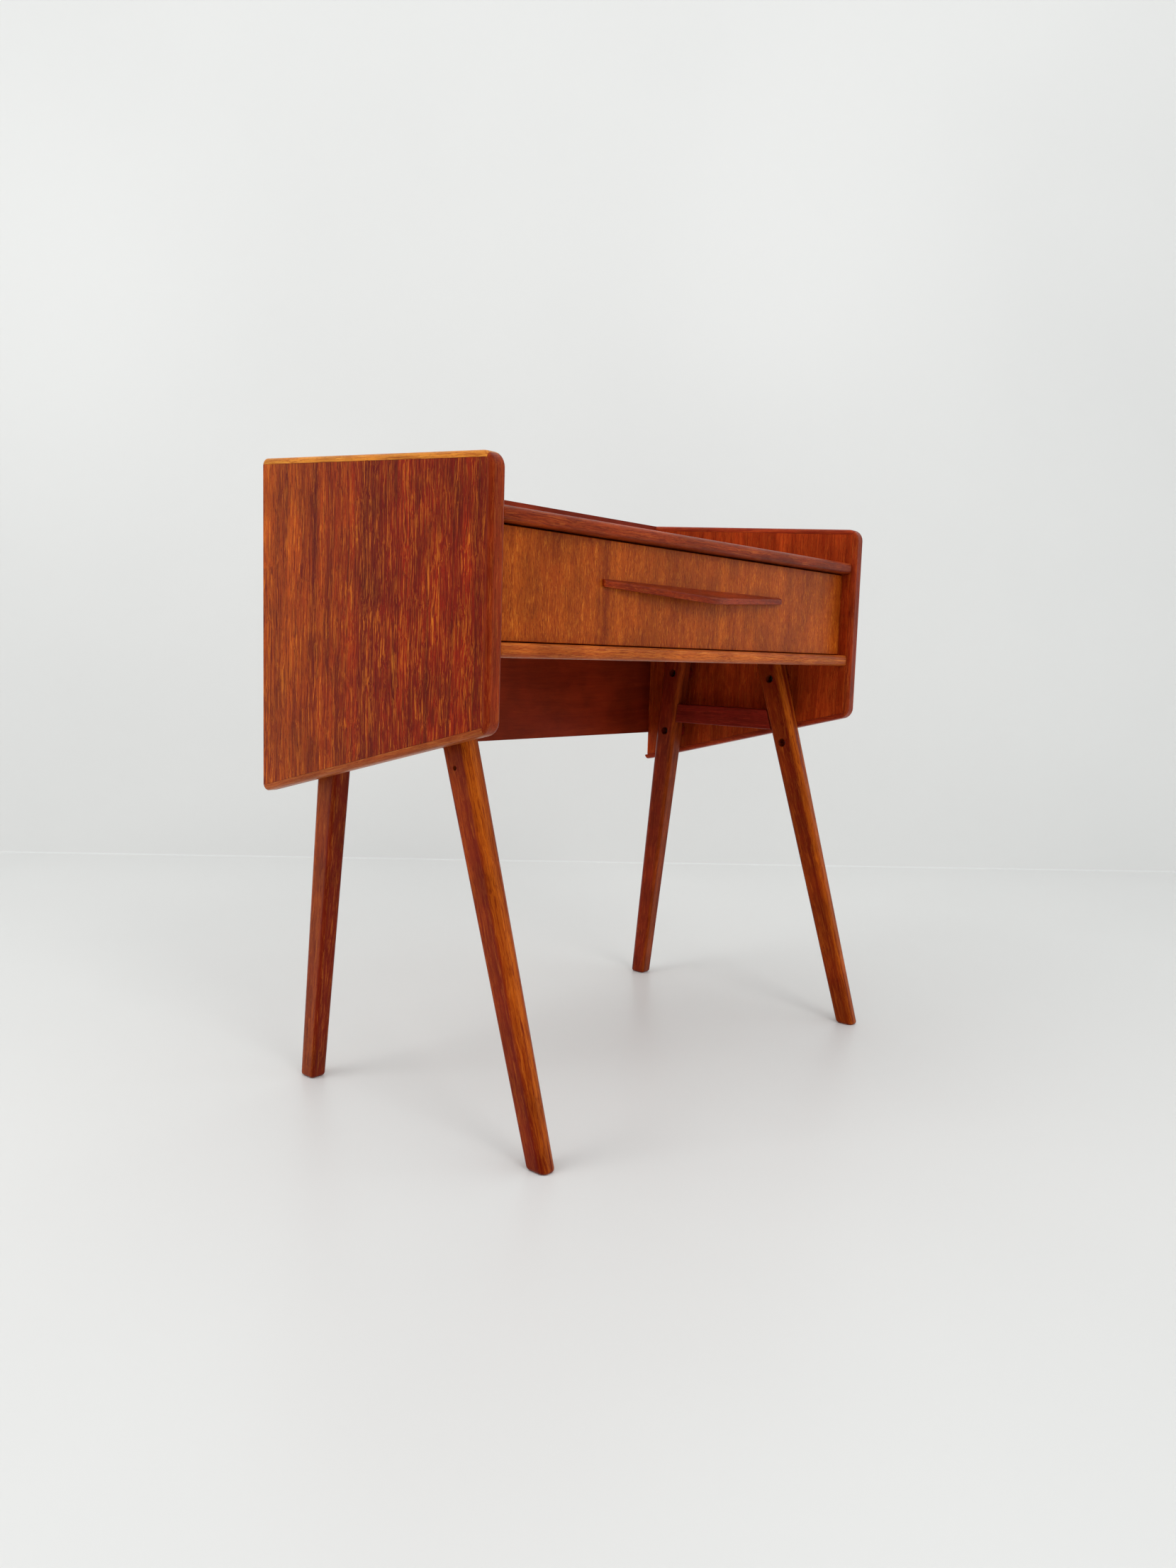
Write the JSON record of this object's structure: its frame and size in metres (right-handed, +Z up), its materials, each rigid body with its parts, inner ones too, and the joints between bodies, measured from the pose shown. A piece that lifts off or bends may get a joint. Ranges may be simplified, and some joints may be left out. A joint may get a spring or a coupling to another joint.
{
  "type": "dressing table",
  "caption": "Low teak dressing table with raised side panels, full-width drawer with an arrow-shaped pull, lift-up lid with mirror, on splayed A-frame legs.",
  "frame": {"origin": "on the floor, at the middle of the overall width and depth", "axes": "+Z up, +X to the right seen from the front, front towards -Y"},
  "size_m": [0.75, 0.4136, 0.7208],
  "materials": {
    "teak_veneer": "satin oiled veneer, grain upright on the panels and the drawer front",
    "teak_solid": "satin oiled solid wood",
    "teak_dark": "satin oiled solid wood, darker red-brown",
    "plywood": "pale plywood",
    "beech": "plain pale hardwood",
    "brass": "satin",
    "steel": "dull, slightly tarnished",
    "mirror_glass": "silvered glass"
  },
  "bodies": {
    "table": {"side_panel_left": "teak_veneer", "panel_top_lip_left": "teak_solid", "panel_bottom_lip_left": "teak_solid", "panel_front_lip_left": "teak_dark", "side_panel_right": "teak_veneer", "panel_top_lip_right": "teak_solid", "panel_bottom_lip_right": "teak_solid", "panel_front_lip_right": "teak_dark", "back_board": "teak_veneer", "tabletop": "teak_veneer", "tabletop_front_edge": "teak_dark", "bottom_board": "teak_veneer", "bottom_board_front_edge": "teak_solid", "drawer_runner_left": "beech", "drawer_runner_right": "beech", "mirror_well_frame": "beech", "mirror_well_base": "plywood", "leg_front_left": "teak_solid", "leg_rear_left": "teak_solid", "stretcher_left": "teak_solid", "spacer_front_left": "teak_solid", "leg_screw_front_left": "steel", "spacer_rear_upper_left": "teak_solid", "leg_screw_rear_upper_left": "steel", "spacer_rear_lower_left": "teak_solid", "leg_screw_rear_lower_left": "steel", "leg_front_right": "teak_solid", "leg_rear_right": "teak_solid", "stretcher_right": "teak_solid", "spacer_front_right": "teak_solid", "leg_screw_front_right": "steel", "spacer_rear_upper_right": "teak_solid", "leg_screw_rear_upper_right": "steel", "spacer_rear_lower_right": "teak_solid", "leg_screw_rear_lower_right": "steel", "back_screw_1": "steel", "back_screw_2": "steel", "back_screw_3": "steel", "back_screw_4": "steel", "hinge_leaf_fixed_left": "brass", "hinge_pin_left": "brass", "hinge_leaf_fixed_right": "brass", "hinge_pin_right": "brass"},
    "drawer": {"drawer_front": "teak_veneer", "drawer_handle": "teak_dark", "drawer_side_left": "beech", "drawer_side_right": "beech", "drawer_back": "beech", "drawer_bottom": "plywood", "handle_screw_left": "steel", "handle_screw_right": "steel"},
    "lid": {"lid": "teak_veneer", "mirror": "mirror_glass", "mirror_clip_front_left": "brass", "mirror_clip_rear_left": "brass", "mirror_clip_front_right": "brass", "mirror_clip_rear_right": "brass", "hinge_leaf_lid_left": "brass", "hinge_leaf_lid_right": "brass"}
  },
  "joints": [
    {"name": "drawer_slide", "type": "slide", "parent": "table", "child": "drawer", "axis": [0, -1, 0], "range_m": [0, 0.2]},
    {"name": "lid_hinge", "type": "hinge", "parent": "table", "child": "lid", "pos_m": [0, 0.17884, 0.6563], "axis": [-1, 0, 0], "range_deg": [0, 105]}
  ]
}
